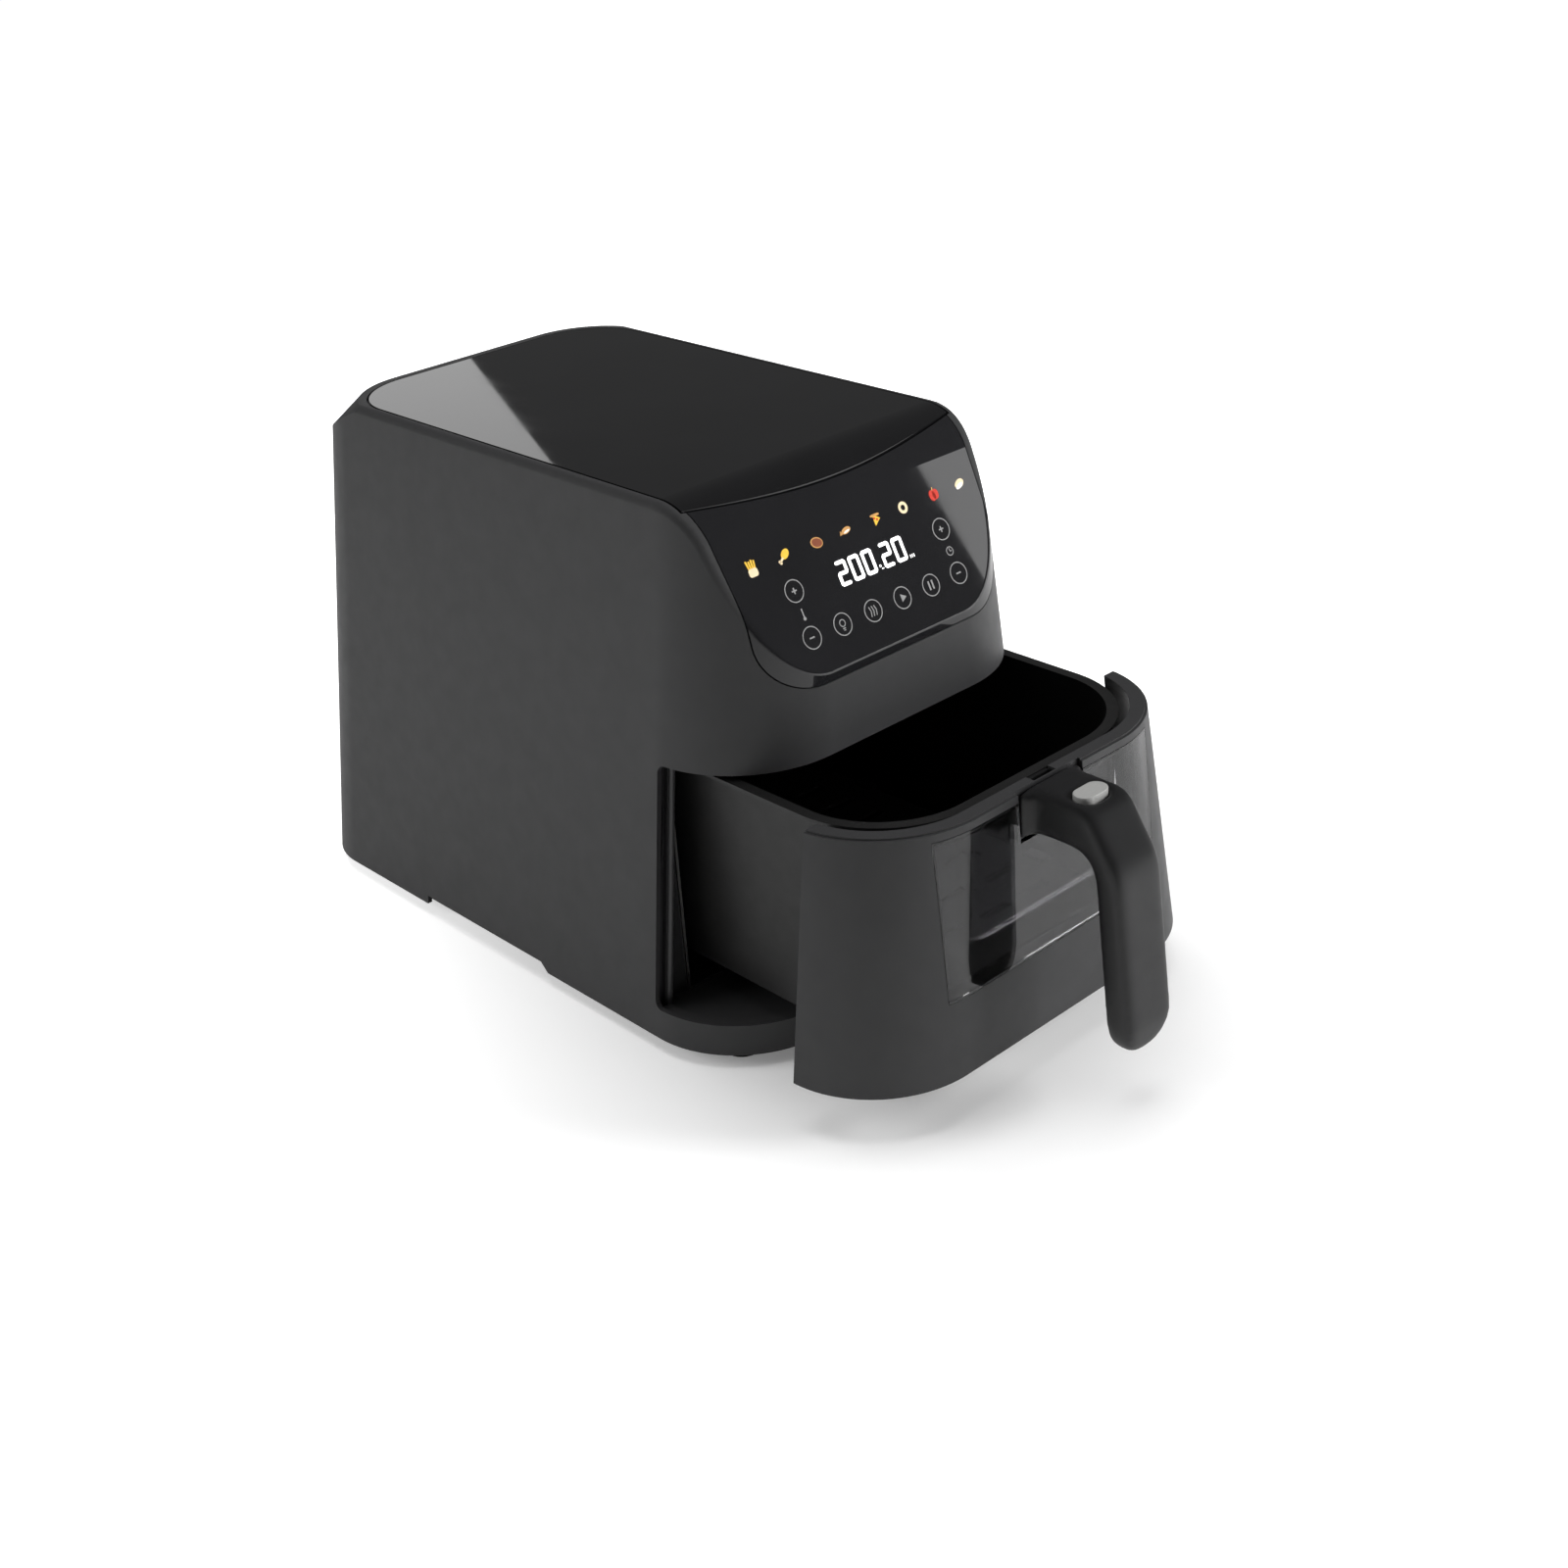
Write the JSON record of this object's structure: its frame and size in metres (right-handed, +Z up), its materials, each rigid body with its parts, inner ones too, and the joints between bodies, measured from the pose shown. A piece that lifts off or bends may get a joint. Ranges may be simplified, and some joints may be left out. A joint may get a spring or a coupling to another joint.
{
  "type": "air fryer",
  "caption": "Table-top air fryer with a tapered housing, a sloped touch panel and a wrap-around windowed drawer with a hanging handle, standing partly open.",
  "frame": {"origin": "middle of the whole object's footprint at the table, with the drawer standing open as pictured", "axes": "+Z up, the front with the drawer and handle faces -Y, +X to the right seen from the front"},
  "size_m": [0.286, 0.588, 0.3084],
  "materials": {
    "shell": "satin",
    "panel": "gloss",
    "control_glass": "gloss",
    "board": "matte",
    "display": "gloss",
    "sensor_foam": "matte",
    "base": "matte",
    "rubber": "matte",
    "bezel": "matte",
    "liner": "dull",
    "element": "dull",
    "bracket": "dull",
    "fan": "satin",
    "cooling_fan": "matte",
    "motor": "dull",
    "components": "matte",
    "smoked_pane": "gloss",
    "sight_glass": "gloss",
    "pan": "non-stick coating",
    "handle": "satin",
    "button": "satin"
  },
  "bodies": {
    "housing": {"outer_shell": "shell", "top_panel": "panel", "control_glass": "control_glass", "control_board": "board", "display_module": "display", "touch_sensors": "sensor_foam", "base_cover": "base", "rubber_feet": "rubber", "bay_tray": "shell", "opening_bezel": "bezel", "cavity_liner": "liner", "heating_element": "element", "fan_chamber": "liner", "element_posts": "bracket", "temperature_sensor": "element", "fan_motor": "motor", "motor_bracket": "bracket", "fan_guard": "element", "air_duct": "liner", "rear_vent": "base", "cord_inlet": "rubber", "power_board": "board", "board_components": "components", "board_posts": "base", "drawer_switch": "components", "bay_rails": "bracket"},
    "rotor": {"convection_fan": "fan", "cooling_fan": "cooling_fan", "motor_shaft": "bracket"},
    "drawer": {"drawer_front": "shell", "smoked_pane": "smoked_pane", "drawer_frame": "bezel", "pan": "pan", "sight_glass": "sight_glass", "window_gasket": "rubber", "pan_bracket": "bracket", "pan_glides": "base", "handle": "handle", "button_spring": "element"},
    "plate": {"crisper_plate": "pan", "plate_bumpers": "rubber"},
    "button": {"release_button": "button"},
    "latch": {"latch_slide": "base"}
  },
  "joints": [
    {"name": "drawer_slide", "type": "slide", "parent": "housing", "child": "drawer", "axis": [0, -1, 0], "range_m": [-0.106, 0.08]},
    {"name": "button_press", "type": "slide", "parent": "drawer", "child": "button", "axis": [0, 0, -1], "range_m": [0, 0.003], "stiffness_N_per_m": 400, "springref_m": -0.002, "deforming": ["button_spring"]},
    {"name": "latch_draw", "type": "slide", "parent": "drawer", "child": "latch", "axis": [0, -1, 0], "range_m": [0, 0.003]},
    {"name": "plate_lift", "type": "slide", "parent": "drawer", "child": "plate", "axis": [0, 0, 1], "range_m": [0, 0.1]},
    {"name": "fan_spin", "type": "hinge", "parent": "housing", "child": "rotor", "pos_m": [0, 0.074, 0.24], "axis": [0, 0, 1], "continuous": true}
  ],
  "couplings": [
    {"joint": "latch_draw", "follows": "button_press", "ratio": 1}
  ]
}
